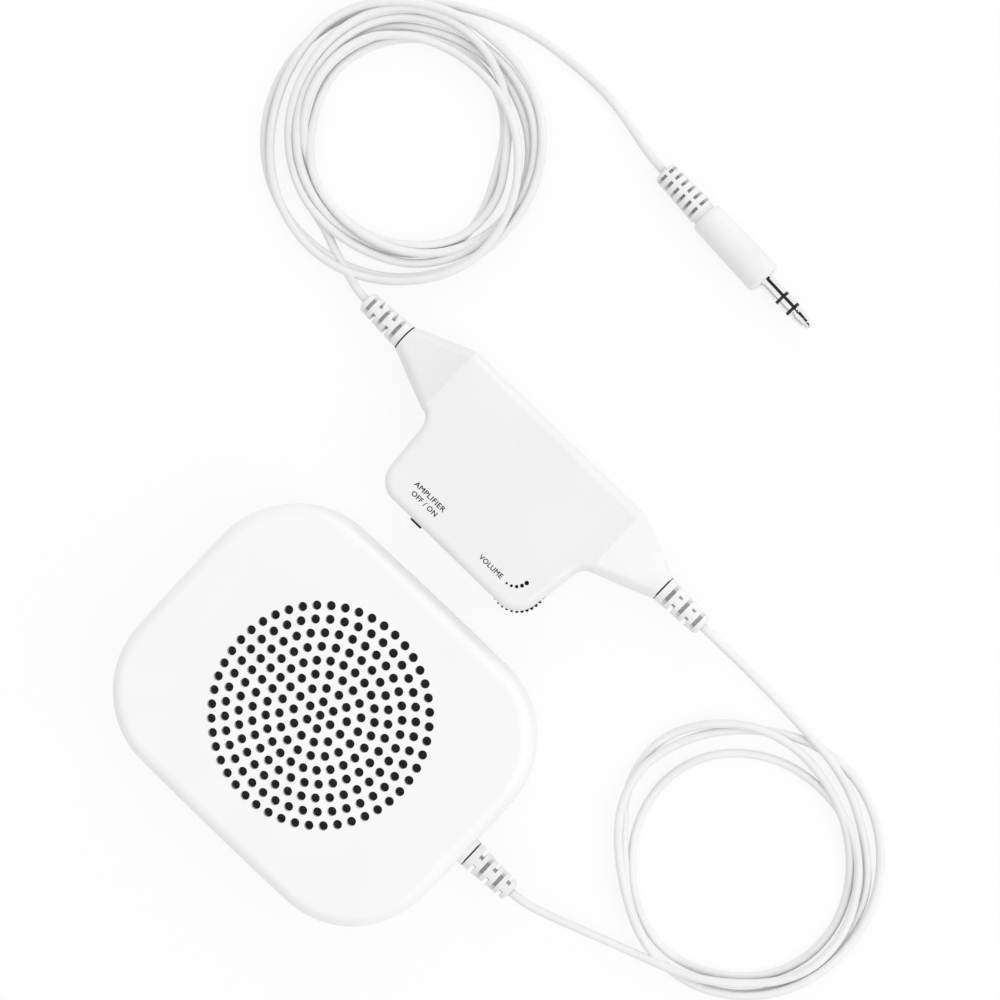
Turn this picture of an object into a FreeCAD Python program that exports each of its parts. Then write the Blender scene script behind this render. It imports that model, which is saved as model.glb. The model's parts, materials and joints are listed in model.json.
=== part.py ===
import FreeCAD, Part
import os
from math import cos, hypot, pi, radians, sin, tan

# Pillow speaker: a flat loudspeaker pad with a perforated face, an amplifier box in
# the cord, two loosely coiled leads and a 3.5 mm plug.  All sizes are in millimetres.
# The origin is the centre of the speaker's underside, +Z is up, and the speaker's
# cord leaves it towards -Y.

# speaker housing
speaker_width = 69.0          # along X
speaker_length = 85.0         # along Y
speaker_height = 17.0
speaker_corner = 21.0
speaker_bow = 0.2             # how far the long sides swell between the corners
speaker_wall = 1.8
speaker_parting = 7.0         # height of the seam between the two shells
front_draft = 3.0             # degrees
rear_draft = 5.0              # degrees
front_edge_radius = 3.0
rear_edge_radius = 2.5
seam_step = 0.15              # the rear shell stands in by this much at the seam
tongue_height = 1.2
tongue_thickness = 0.8
fit_gap = 0.15                # between moulded pieces that locate each other

# grille
grille_pitch = 2.92           # from one ring of holes to the next
grille_counts = (6, 12, 18, 25, 30, 36, 41, 48)
grille_hole_radius = 1.0
cloth_thickness = 0.3

# driver
driver_radius = 25.0
driver_seat_wall = 1.3
driver_seat_depth = 4.2
gasket_width = 2.6
gasket_thickness = 0.8
flange_thickness = 0.8
basket_thickness = 0.6
basket_depth = 5.6            # from the flange's face to the back ring's underside
basket_back_radius = 13.5
basket_windows = 6
cone_thickness = 0.35
cone_roll_radius = 0.6        # half-round surround
voice_coil_radius = 6.7
voice_coil_thickness = 0.4
voice_coil_length = 4.6
dust_cap_rise = 1.6
plate_thickness = 1.2
plate_radius = 12.5
magnet_radius = 14.0
magnet_thickness = 2.4
magnet_hole_radius = 8.5
yoke_thickness = 1.1
coil_clearance = 0.3
terminal_size = (7.0, 2.4, 0.8)
terminal_setback = 0.4        # in from the flange's rim

# housing screws
speaker_screw_x = 22.5
speaker_screw_y = 31.5
speaker_boss_radius = 3.2
speaker_screw_shank = 0.95
speaker_screw_head = 2.1
speaker_screw_sink = 2.6      # depth of the counterbore
speaker_screw_length = 7.4    # under the head
head_thickness = 1.4
head_gap = 0.3
thread_gap = 0.05

# strain reliefs
boot_length = 11.8
boot_base_radius = 3.1
boot_end_radius = 2.3
boot_core_radius = 1.45
boot_web = 1.8                # of the two webs that join each pair of rings
boot_neck_radius = 2.1
boot_flange_radius = 3.3
boot_flange_thickness = 1.2
boot_rows = 5
boot_first_slot = 1.8
boot_slot_pitch = 1.95
boot_slot_width = 0.9
boot_gap = 0.15
boot_round = 0.5
boot_side = -0.55             # the speaker's boot sits a little beside the middle
collar_radius = 3.3
collar_reach = 0.8

# amplifier housing, in its own frame: its middle on the floor, +X to the straight back
# edge, +Y to the plug lead
amp_place_x = 70.0
amp_place_y = 4.35
amp_turn = -1.0               # degrees, as it lies beside the speaker
amp_length = 77.3             # between the two strain reliefs
amp_height = 14.0
amp_wall = 1.4
amp_back_x = 8.7              # the straight back edge
amp_bay_room = 5.9            # by how much the straight back is longer than the cell
amp_back_radius = 3.0
amp_edge_radius = 2.0
amp_shoulder_x = -8.4         # the barrel's side that carries the box
amp_box_reach = 26.6          # how far the box stands out from the cord's line
amp_box_low_inset = (1.25, 3.65)   # the box's -Y side, at the barrel and at its far end,
amp_box_high_inset = (2.4, 3.9)    # and its +Y side, each from the straight back's end
amp_box_low_corner = 5.6      # rounded about the volume wheel
amp_box_high_corner = 5.2
amp_cove_x = -8.95            # where the box's sides would meet the tapers
amp_cove_radius = 4.0
amp_cove_slope = 0.36         # how the tapers lean, X over Y
amp_end_radius = 3.2
# halfway along a taper: how far its width, its height and its corners have gone towards the
# round end
amp_taper_middle = (0.47, 0.66, 0.72)

# battery bay
cell_radius = 5.2
cell_length = 43.5
cell_nub_radius = 1.9
cell_nub_height = 1.0
leaf_length = 3.0
leaf_thickness = 0.3
leaf_width = 5.0
contact_thickness = 0.5
contact_setback = 1.0         # from the barrel's straight part to the leaf's plate
contact_width = 8.0
door_inner_x = -6.6
door_gap = 0.3
door_hook_length = 2.8
door_hook_reach = 0.7
door_hook_gap = 0.45
door_hook_thickness = 0.65
cell_door_gap = 0.35          # along Y, between the cell's ends and the door's hooks
door_groove_depth = 0.4
door_groove_width = 0.9
door_grooves = 5
door_groove_pitch = 2.0

# board and what stands on it
board_height = 3.4            # its underside
board_thickness = 1.0
board_gap = 0.5
amp_high_screw = (-12.6, 7.1)  # X, and how far it is from the straight back's end
amp_low_screw = (-11.4, -8.8)
amp_boss_radius = 2.4
amp_screw_shank = 0.8
amp_screw_head = 1.75
amp_screw_sink = 1.6
amp_screw_length = 8.2
chip_size = (5.0, 4.0, 1.5)
chip_place = (-14.0, 2.0)
capacitor_radius = 2.0
capacitor_height = 5.4
capacitor_places = ((-11.0, 9.6), (-11.0, -3.4))
outer_capacitor = (7.0, -4.4)  # from the box's far side, and Y
resistor_size = (1.6, 0.8, 0.5)
# each from the box's far side, and Y
resistor_places = ((8.2, 6.4), (10.6, 6.4), (13.0, 6.4), (11.4, -8.6), (12.0, -10.6))

# volume wheel
wheel_inset = (5.6, 8.55)     # from the box's far side and the straight back's end
wheel_radius = 6.15
wheel_thickness = 2.4
wheel_low = 5.9
wheel_knurls = 33
wheel_knurl_depth = 0.5
wheel_gap = 0.35
wheel_hub_radius = 1.5
wheel_running_gap = 0.06
pot_radius = 2.9
wheel_screw_head = 1.6
wheel_screw_shank = 0.7
wheel_screw_length = 2.6

# power switch
knob_length = 3.1
knob_height = 1.5
knob_place_y = 9.05
knob_reach = 0.75             # how far it stands out of the box
knob_round = 0.3
knob_gap = 0.3
switch_travel = 2.0
switch_size = (4.4, 8.6, 3.8)
switch_setback = 0.3
stem_size = (1.4, 1.2)        # along Y and along Z
stem_depth = 1.6

# plug, in its own frame: the shaft's shoulder at the origin, +Y towards the cord
plug_place = (132.9, -5.1)
plug_turn = -4.3              # degrees
plug_barrel_radius = 3.98     # at the shaft's end, on which the plug rests
plug_barrel_back = 3.72       # and at the cord's end
plug_barrel_length = 19.2
plug_barrel_round = 1.0
plug_waist_length = 0.8
plug_boot_length = 12.2
plug_boot_wide = 3.1
plug_boot_narrow = 2.5
plug_boot_core = 1.4
plug_slot_rows = 6
plug_slot_pitch = 1.94
plug_slot_width = 0.75
plug_slot_first = 0.85
plug_web = 0.8
shaft_radius = 1.75
shaft_sleeve_length = 5.0
shaft_ring_length = 2.6
shaft_insulator = 0.7
insulator_step = 0.02
shaft_length = 14.0
tip_neck_radius = 1.48
tip_head_radius = 1.66
tip_shoulder_radius = 1.35
tip_nose_radius = 0.9
collar_plate = 0.5
shaft_core_radius = 0.8

# cords and the loose coils that they are laid in
cord_radius = 0.95
plug_coil_centre = (101.9, 73.9)
plug_coil_outer = 31.7
plug_coil_inner = 21.2
plug_coil_height = 5.2
speaker_coil_centre = (38.4, -87.0)
speaker_coil_outer = 29.6
speaker_coil_inner = 22.4
speaker_coil_height = 4.4
coil_edge_radius = 1.6
arc_share = 0.45

V = FreeCAD.Vector
up = V(0, 0, 1)


# helpers

def ring(inner, outer, low, high, centre=(0, 0)):
    place = V(centre[0], centre[1], low)
    solid = Part.makeCylinder(outer, high - low, place)
    return solid.cut(Part.makeCylinder(inner, high - low, place)) if inner else solid


def block(x_low, x_high, y_low, y_high, z_low, z_high):
    return Part.makeBox(x_high - x_low, y_high - y_low, z_high - z_low, V(x_low, y_low, z_low))


def turned(profile, axis_point=V(0, 0, 0), axis=up):
    # a closed outline in the XZ plane, turned about an axis
    points = [V(x, 0, z) for x, z in profile]
    face = Part.Face(Part.makePolygon(points + points[:1]))
    return face.revolve(axis_point, axis, 360)


def rounded_outline(corners, z=0.0):
    # corners are (x, y, radius) in order; a radius of 0 leaves the corner sharp
    edges = []
    count = len(corners)
    joints = []
    for i in range(count):
        x, y, radius = corners[i]
        here = V(x, y, z)
        back = V(corners[i - 1][0], corners[i - 1][1], z) - here
        ahead = V(corners[(i + 1) % count][0], corners[(i + 1) % count][1], z) - here
        back.normalize()
        ahead.normalize()
        if not radius:
            joints.append((here, None, here))
            continue
        half = back.getAngle(ahead) / 2
        reach = radius / tan(half)
        bisector = back + ahead
        bisector.normalize()
        middle = here + bisector * (radius / sin(half) - radius)
        joints.append((here + back * reach, middle, here + ahead * reach))
    for i in range(count):
        start, middle, end = joints[i]
        if middle:
            edges.append(Part.Arc(start, middle, end).toShape())
        following = joints[(i + 1) % count][0]
        edges.append(Part.LineSegment(end, following).toShape())
    return Part.Wire(edges)


def prism(wire, height):
    return Part.Face(wire).extrude(V(0, 0, height))


def union(first, others):
    return first.multiFuse(others).removeSplitter()


# speaker housing

def speaker_section(z, inset):
    # rounded rectangle with sides bowed outwards, drafted both ways from the seam
    draft = front_draft if z > speaker_parting else rear_draft
    inset += abs(z - speaker_parting) * tan(radians(draft))
    half_x = speaker_width / 2 - inset
    half_y = speaker_length / 2 - inset
    corner = speaker_corner - inset
    middle_x = half_x - corner - speaker_bow
    middle_y = half_y - corner - speaker_bow
    bow_y = (middle_x ** 2 + (corner + speaker_bow) ** 2 - corner ** 2) / (2 * speaker_bow)
    bow_x = (middle_y ** 2 + (corner + speaker_bow) ** 2 - corner ** 2) / (2 * speaker_bow)
    corner_middle = V(middle_x, middle_y, z)
    to_end = corner_middle - V(0, half_y - bow_y, z)
    to_side = corner_middle - V(half_x - bow_x, 0, z)
    to_end.normalize()
    to_side.normalize()
    end_point = corner_middle + to_end * corner
    side_point = corner_middle + to_side * corner
    between = to_end + to_side
    between.normalize()
    corner_point = corner_middle + between * corner

    def at(point, sign_x, sign_y):
        return V(point.x * sign_x, point.y * sign_y, z)

    def arc(start, through, end):
        return Part.Arc(start, through, end).toShape()

    return Part.Wire([
        arc(at(side_point, 1, -1), V(half_x, 0, z), side_point),
        arc(side_point, corner_point, end_point),
        arc(end_point, V(0, half_y, z), at(end_point, -1, 1)),
        arc(at(end_point, -1, 1), at(corner_point, -1, 1), at(side_point, -1, 1)),
        arc(at(side_point, -1, 1), V(-half_x, 0, z), at(side_point, -1, -1)),
        arc(at(side_point, -1, -1), at(corner_point, -1, -1), at(end_point, -1, -1)),
        arc(at(end_point, -1, -1), V(0, -half_y, z), at(end_point, 1, -1)),
        arc(at(end_point, 1, -1), at(corner_point, 1, -1), at(side_point, 1, -1)),
    ])


def speaker_block(low, high, inset):
    return Part.makeLoft([speaker_section(low, inset), speaker_section(high, inset)], True, True)


def round_rim(solid, z, radius):
    rim = [e for e in solid.Edges if all(abs(v.Z - z) < 1e-6 for v in e.Vertexes)]
    return solid.makeFillet(radius, rim)


front_inside = speaker_height - speaker_wall
screw_places = [(sx * speaker_screw_x, sy * speaker_screw_y) for sx in (-1, 1) for sy in (-1, 1)]
boot_face_y = -speaker_length / 2 - collar_reach - boot_gap
boot_axis_z = speaker_parting


def along_y(radius, y_low, y_high, z):
    return Part.makeCylinder(radius, y_high - y_low, V(0, y_low, z), V(0, 1, 0))


def speaker_collar():
    # the housing's half-round seat for the strain relief, before the shells part
    outer_y = -speaker_length / 2 - collar_reach
    inner_y = -speaker_length / 2 + speaker_wall + 2 * boot_flange_thickness
    seat = along_y(collar_radius, outer_y, -speaker_length / 2 + speaker_wall, boot_axis_z)
    guide = block(-boot_flange_radius - speaker_wall, boot_flange_radius + speaker_wall,
                  -speaker_length / 2 + speaker_wall / 2, inner_y,
                  boot_axis_z - boot_flange_radius - fit_gap, boot_axis_z + boot_flange_radius)
    pocket = along_y(boot_flange_radius + fit_gap, -speaker_length / 2 + speaker_wall,
                     inner_y, boot_axis_z)
    bore = along_y(boot_neck_radius + fit_gap, outer_y, inner_y, boot_axis_z)
    for shape in (seat, guide, pocket, bore):
        shape.translate(V(boot_side, 0, 0))
    return seat, guide, pocket.fuse(bore)


def grille_holes():
    # every ring starts with a hole on the +Y side
    def hole(radius, angle):
        place = V(radius * cos(angle), radius * sin(angle), front_inside - speaker_wall)
        return Part.makeCylinder(grille_hole_radius, 3 * speaker_wall, place)

    holes = [hole(0, 0)]
    for number, count in enumerate(grille_counts, start=1):
        for i in range(count):
            holes.append(hole(number * grille_pitch, pi / 2 + 2 * pi * i / count))
    return Part.makeCompound(holes)


def speaker_front_shell():
    outer = speaker_block(speaker_parting, speaker_height, 0)
    outer = round_rim(outer, speaker_height, front_edge_radius)
    shell = outer.cut(speaker_block(speaker_parting, front_inside, speaker_wall))
    seat, guide, passage = speaker_collar()
    upper = block(-speaker_width, speaker_width, -speaker_length, speaker_length,
                  speaker_parting, speaker_height)
    driver_wall = ring(driver_radius + fit_gap, driver_radius + fit_gap + driver_seat_wall,
                       front_inside - driver_seat_depth, front_inside)
    bosses = [ring(0, speaker_boss_radius, speaker_parting, front_inside, p) for p in screw_places]
    shell = union(shell, [seat.common(upper), guide.common(upper), driver_wall] + bosses)
    pilot_top = speaker_screw_sink + speaker_screw_length + 2 * head_gap
    pilots = [ring(0, speaker_screw_shank + thread_gap, speaker_parting, pilot_top, p)
              for p in screw_places]
    shell = shell.cut(Part.makeCompound(pilots + [passage]))
    return shell.cut(grille_holes())


def speaker_rear_shell():
    outer = speaker_block(0, speaker_parting, seam_step)
    outer = round_rim(outer, 0, rear_edge_radius)
    shell = outer.cut(speaker_block(speaker_wall, speaker_parting, speaker_wall))
    tongue_inset = speaker_wall + fit_gap + tongue_height * tan(radians(front_draft))
    tongue_low = speaker_parting - tongue_thickness
    tongue_high = speaker_parting + tongue_height
    tongue = prism(speaker_section(speaker_parting, tongue_inset), tongue_high - speaker_parting)
    hollow = prism(speaker_section(speaker_parting, tongue_inset + tongue_thickness),
                   tongue_high - speaker_parting)
    root = prism(speaker_section(speaker_parting, speaker_wall / 2), tongue_thickness)
    root_hollow = prism(speaker_section(speaker_parting, tongue_inset + tongue_thickness),
                        tongue_thickness)
    lip = root.cut(root_hollow)
    lip.translate(V(0, 0, tongue_low - speaker_parting))
    seat, guide, passage = speaker_collar()
    lower = block(-speaker_width, speaker_width, -speaker_length, speaker_length,
                  speaker_wall, speaker_parting)
    posts = [ring(0, speaker_boss_radius, 0, speaker_parting, p) for p in screw_places]
    shell = union(shell, [tongue.cut(hollow), lip, seat.common(lower), guide.common(lower)] + posts)
    sinks = [ring(0, speaker_screw_head + head_gap, 0, speaker_screw_sink, p)
             for p in screw_places]
    shanks = [ring(0, speaker_screw_shank + head_gap, 0, speaker_parting, p)
              for p in screw_places]
    notches = [ring(0, speaker_boss_radius + fit_gap, speaker_parting, tongue_high, p)
               for p in screw_places]
    guide_notch = block(-boot_flange_radius - speaker_wall - fit_gap,
                        boot_flange_radius + speaker_wall + fit_gap,
                        -speaker_length, 0, speaker_parting, tongue_high)
    return shell.cut(Part.makeCompound(sinks + shanks + notches + [guide_notch, passage]))


def screw(head_radius, shank_radius, length, head_z, place):
    # round head below, a slot across it, the shank pointing up with a short point
    low = head_z - head_thickness
    body = turned([(0, low), (head_radius * 0.7, low), (head_radius, low + head_thickness * 0.4),
                   (head_radius, head_z), (shank_radius, head_z),
                   (shank_radius, head_z + length - shank_radius),
                   (shank_radius * 0.3, head_z + length), (0, head_z + length)])
    slot = head_radius * 0.2
    body = body.cut(block(-head_radius, head_radius, -slot, slot, low, low + head_thickness * 0.4))
    body.translate(V(place[0], place[1], 0))
    return body


def speaker_screws():
    return Part.makeCompound([
        screw(speaker_screw_head, speaker_screw_shank, speaker_screw_length,
              speaker_screw_sink, place) for place in screw_places])


# driver, stacked downwards from the front shell's inner face

cloth_low = front_inside - cloth_thickness
gasket_low = cloth_low - gasket_thickness
cone_rim_low = gasket_low - cone_thickness
flange_low = cone_rim_low - flange_thickness
back_ring_low = flange_low - basket_depth
plate_low = back_ring_low - plate_thickness
magnet_low = plate_low - magnet_thickness
yoke_low = magnet_low - yoke_thickness
coil_inner = voice_coil_radius - voice_coil_thickness / 2
coil_outer = voice_coil_radius + voice_coil_thickness / 2
coil_top = back_ring_low + voice_coil_length - plate_thickness
cone_rim_inner = driver_radius - gasket_width - fit_gap
cone_roll_end = cone_rim_inner - 2 * cone_roll_radius
cone_throat = coil_top + 1.6 * cone_thickness
cone_slope = (cone_rim_low + cone_thickness - cone_throat) / (cone_roll_end - coil_outer)


def grille_cloth():
    return ring(0, driver_radius, cloth_low, front_inside)


def driver_gasket():
    return ring(driver_radius - gasket_width, driver_radius, gasket_low, cloth_low)


def driver_cone():
    # flat rim, half-round surround and a shallow cone down to the voice coil
    t = cone_thickness
    low = cone_rim_low
    roll = [(cone_rim_inner - cone_roll_radius * (1 - cos(a)), low + cone_roll_radius * sin(a))
            for a in [pi * i / 6 for i in range(7)]]
    outer_line = [(driver_radius, low)] + roll + [(coil_outer, coil_top)]
    inner_line = [(coil_outer, cone_throat), (cone_roll_end, low + t)]
    inner_line += [(x, z + t) for x, z in reversed(roll[:-1])] + [(driver_radius, low + t)]
    return turned(outer_line + inner_line)


def dust_cap():
    steps = 5
    base = voice_coil_radius + 2 * voice_coil_thickness
    z = cone_throat + (base - coil_outer) * cone_slope
    sphere = (base ** 2 + dust_cap_rise ** 2) / (2 * dust_cap_rise)
    outer = [(base * i / steps, z + (sphere ** 2 - (base * i / steps) ** 2) ** 0.5
              - sphere + dust_cap_rise) for i in range(steps + 1)]
    inner = [(x, max(h - cone_thickness, z)) for x, h in reversed(outer[:-1])]
    return turned(outer + [(base - cone_thickness, z)] + inner)


def voice_coil():
    return ring(coil_inner, coil_outer, coil_top - voice_coil_length, coil_top)


def driver_basket():
    t = basket_thickness
    wall_top = driver_radius - gasket_width - 1.0
    profile = [(driver_radius, flange_low), (driver_radius, flange_low + flange_thickness),
               (wall_top, flange_low + flange_thickness),
               (basket_back_radius - t, back_ring_low + t), (magnet_hole_radius, back_ring_low + t),
               (magnet_hole_radius, back_ring_low), (basket_back_radius, back_ring_low),
               (wall_top + t, flange_low)]
    basket = turned(profile)
    window_middle = (wall_top + basket_back_radius) / 2
    window_width = window_middle * 2 * pi / basket_windows * 0.55
    window_height = basket_depth * 0.5
    windows = []
    for i in range(basket_windows):
        cutter = block(basket_back_radius + t, wall_top, -window_width / 2, window_width / 2,
                       flange_low - basket_depth / 2 - window_height / 2,
                       flange_low - basket_depth / 2 + window_height / 2)
        cutter.rotate(V(0, 0, 0), up, 360 * i / basket_windows)
        windows.append(cutter)
    return basket.cut(Part.makeCompound(windows))


def driver_top_plate():
    return ring(coil_outer + coil_clearance, plate_radius, plate_low, back_ring_low)


def driver_magnet():
    return ring(magnet_hole_radius, magnet_radius, magnet_low, plate_low)


def driver_yoke():
    pole = ring(0, coil_inner - coil_clearance, magnet_low, back_ring_low)
    return union(ring(0, plate_radius, yoke_low, magnet_low), [pole])


def driver_pad():
    return ring(boot_flange_radius, plate_radius - 1.0, speaker_wall, yoke_low)


def driver_terminal():
    # solder tag board under the basket's flange, towards the cord
    length, depth, thickness = terminal_size
    high = flange_low
    low_y = terminal_setback - driver_radius
    board = block(-length / 2, length / 2, low_y, low_y + depth, high - thickness, high)
    tags = [block(x - 0.6, x + 0.6, low_y + 0.5, low_y + depth - 0.5, high - 2 * thickness,
                  high - thickness) for x in (-length / 4, length / 4)]
    return union(board, tags)


# strain relief, turned about +Y with its joint face at y = 0 and the cord leaving at +Y

def slot_band(core, low, width, web, webs_along_x):
    # a ring of material to take away round the core, less the webs that stay
    reach = 2 * plug_barrel_radius
    band = ring(core, reach, low, low + width)
    for along_x in webs_along_x:
        long, wide = (reach, web / 2) if along_x else (web / 2, reach)
        band = band.cut(block(-long, long, -wide, wide, low, low + width))
    return band


def strain_relief(first_slots_up):
    flange_y = -(speaker_wall + collar_reach + boot_gap)
    profile = [(0, flange_y - boot_flange_thickness), (boot_flange_radius - fit_gap,
               flange_y - boot_flange_thickness), (boot_flange_radius - fit_gap, flange_y),
               (boot_neck_radius, flange_y), (boot_neck_radius, 0), (boot_base_radius, 0),
               (boot_end_radius + boot_round * 0.3, boot_length - boot_round),
               (boot_end_radius - boot_round, boot_length), (0, boot_length)]
    relief = turned(profile)
    slots = []
    for row in range(boot_rows):
        low = boot_first_slot + row * boot_slot_pitch
        across = first_slots_up == (row % 2 == 0)
        slots.append(slot_band(boot_core_radius, low, boot_slot_width, boot_web, (across,)))
    relief = relief.cut(Part.makeCompound(slots))
    relief.rotate(V(0, 0, 0), V(1, 0, 0), -90)
    return relief


def speaker_boot():
    relief = strain_relief(False)
    relief.rotate(V(0, 0, 0), up, 180)
    relief.translate(V(boot_side, boot_face_y, boot_axis_z))
    return relief


# amplifier housing

def amp_placed(shape):
    shape.rotate(V(0, 0, 0), up, amp_turn)
    shape.translate(V(amp_place_x, amp_place_y, 0))
    return shape


amp_axis_z = amp_height / 2
amp_half_back = (cell_length + amp_bay_room) / 2
amp_box_low = [inset - amp_half_back for inset in amp_box_low_inset]
amp_box_high = [amp_half_back - inset for inset in amp_box_high_inset]
amp_screw_places = [(amp_high_screw[0], amp_half_back - amp_high_screw[1]), amp_low_screw]
wheel_place = (wheel_inset[0] - amp_box_reach, wheel_inset[1] - amp_half_back)
amp_half_length = amp_length / 2
amp_ceiling = amp_height - amp_wall


def barrel_profile(inset, y, inner_radius, width=0, height=0, roundness=0):
    # the barrel's section: rounded on the back edge, flat above and below; in the tapers
    # its width, height and corners go towards the round end
    def towards(start, end, share):
        return start + (end - start) * share

    low_x = towards(amp_shoulder_x, -amp_end_radius, width) + inset
    high_x = towards(amp_back_x, amp_end_radius, width) - inset
    half_height = towards(amp_axis_z, amp_end_radius, height) - inset
    end_corner = amp_end_radius - inset
    back_radius = towards(max(amp_back_radius - inset, inner_radius), end_corner, roundness)
    front_radius = towards(inner_radius, end_corner, roundness)
    low_z, high_z = amp_axis_z - half_height, amp_axis_z + half_height
    corners = [(high_x, low_z, back_radius), (high_x, high_z, back_radius),
               (low_x, high_z, front_radius), (low_x, low_z, front_radius)]
    wire = rounded_outline(corners)
    wire.rotate(V(0, 0, 0), V(1, 0, 0), 90)
    wire.translate(V(0, y, 0))
    return wire


def round_profile(radius, y):
    # the taper's end circle in eight arcs, which pair with the barrel profile's edges
    def point(angle):
        return V(radius * cos(radians(angle)), y, amp_axis_z + radius * sin(radians(angle)))

    starts = [-67.5 + 45 * i for i in range(8)]
    return Part.Wire([Part.Arc(point(a), point(a + 22.5), point(a + 45)).toShape() for a in starts])


def box_plan(inset):
    # the box seen from above: coves into the tapers, rounded corners at the far side
    lean = hypot(1, amp_cove_slope) - amp_cove_slope
    cove_x = amp_cove_x + inset * lean
    cove = amp_cove_radius + inset
    run = 0.7 * cove
    outer_x = cove_x + amp_cove_slope * run
    inner_x = outer_x + 2 * amp_wall
    tip_x = -amp_box_reach + inset
    plan = []
    for side, (base, tip), corner in ((1, amp_box_high, amp_box_high_corner),
                                      (-1, amp_box_low, amp_box_low_corner)):
        base -= side * inset
        half = [(inner_x, base + side * (run - amp_wall), 0),
                (outer_x, base + side * run, 0),
                (cove_x, base, cove), (tip_x, tip - side * inset, corner - inset)]
        plan += half if side > 0 else half[::-1]
    return plan


def amp_body(inset):
    rounded = inset == 0
    corner = amp_edge_radius if rounded else fit_gap
    plan = box_plan(inset)
    box = prism(rounded_outline(plan, inset), amp_height - 2 * inset)
    if rounded:
        rims = [e for e in box.Edges
                if e.BoundBox.ZLength < 1e-3 and e.BoundBox.XMax < plan[1][0] + 1e-3]
        box = box.makeFillet(corner, rims)
    barrel = Part.Face(barrel_profile(inset, -amp_half_back, corner)).extrude(
        V(0, 2 * amp_half_back, 0))
    body = union(barrel, [box])
    ends = []
    for side in (-1, 1):
        sections = [barrel_profile(inset, side * amp_half_back, corner)]
        sections.append(barrel_profile(inset, side * (amp_half_back + amp_half_length) / 2, corner,
                                       *amp_taper_middle))
        sections.append(round_profile(amp_end_radius - inset, side * (amp_half_length + inset)))
        ends.append(Part.makeLoft(sections, True, False))
    return union(body, ends)


def amp_halves():
    outer = amp_body(0)
    shell = outer.cut(amp_body(amp_wall))
    far = amp_length
    upper = block(-far, far, -far, far, amp_axis_z, amp_height)
    lower = block(-far, far, -far, far, 0, amp_axis_z)
    return outer, shell.common(upper), shell.common(lower)


cell_low_y = -amp_half_back + contact_setback + contact_thickness + leaf_length
cell_high_y = cell_low_y + cell_length + cell_nub_height
plate_y = cell_high_y
leaf_y = cell_low_y - leaf_length
door_margin = cell_door_gap + door_hook_reach + door_gap
door_low_y = cell_low_y - door_margin
door_high_y = cell_low_y + cell_length + door_margin
door_hook_low = amp_wall + door_hook_gap
knob_face_x = -amp_box_reach
wheel_high = wheel_low + wheel_thickness
screw_top = amp_screw_sink + amp_screw_length


def door_space(gap):
    far = 2 * amp_back_x
    return block(door_inner_x + gap, far, door_low_y + gap, door_high_y - gap,
                 -1, amp_axis_z - gap)


def wheel_slot():
    return ring(0, wheel_radius + wheel_gap, wheel_low - wheel_gap, wheel_high + wheel_gap,
                wheel_place)


def knob_slot():
    return block(-amp_box_reach - amp_wall, -amp_box_reach + 2 * amp_wall,
                 knob_place_y - knob_length / 2 - knob_gap,
                 knob_place_y + knob_length / 2 + switch_travel + knob_gap,
                 amp_axis_z - knob_height / 2 - knob_gap, amp_axis_z + knob_height / 2 + knob_gap)


def boot_bores():
    # the barrel's two ends hold the strain reliefs by neck and flange
    cutters = []
    for side in (-1, 1):
        inner = amp_half_length - speaker_wall - collar_reach - boot_flange_thickness - 2 * fit_gap
        bore = along_y(boot_neck_radius + fit_gap, min(side * inner, side * amp_length),
                       max(side * inner, side * amp_length), amp_axis_z)
        seat_end = amp_half_length - speaker_wall - collar_reach
        seat = along_y(boot_flange_radius, min(side * inner, side * seat_end),
                       max(side * inner, side * seat_end), amp_axis_z)
        cutters += [bore, seat]
    return Part.makeCompound(cutters)


def amp_top_shell(top):
    bosses = [ring(0, amp_boss_radius, board_height + board_thickness, amp_ceiling, p)
              for p in amp_screw_places]
    walls = [block(-cell_radius, cell_radius, y - contact_thickness, y + contact_thickness,
                   amp_axis_z - contact_width / 2, amp_ceiling)
             for y in (leaf_y - 2 * contact_thickness, plate_y + 2 * contact_thickness)]
    top = union(top, bosses + walls)
    pilots = [ring(0, amp_screw_shank + thread_gap, board_height, screw_top + head_gap, p)
              for p in amp_screw_places]
    top = top.cut(Part.makeCompound(pilots))
    return top.cut(wheel_slot()).cut(knob_slot()).cut(boot_bores())


def amp_bottom_shell(bottom):
    posts = [ring(0, amp_boss_radius, 0, board_height, p) for p in amp_screw_places]
    rests = [ring(0, 1.2, amp_wall / 2, board_height, p) for p in ((-23.2, 2.0), (-10.6, -1.0))]
    bottom = union(bottom.cut(door_space(0)), posts + rests)
    sinks = [ring(0, amp_screw_head + head_gap, 0, amp_screw_sink, p) for p in amp_screw_places]
    shanks = [ring(0, amp_screw_shank + head_gap, 0, board_height, p) for p in amp_screw_places]
    bottom = bottom.cut(Part.makeCompound(sinks + shanks))
    return bottom.cut(wheel_slot()).cut(knob_slot()).cut(boot_bores())


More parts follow.
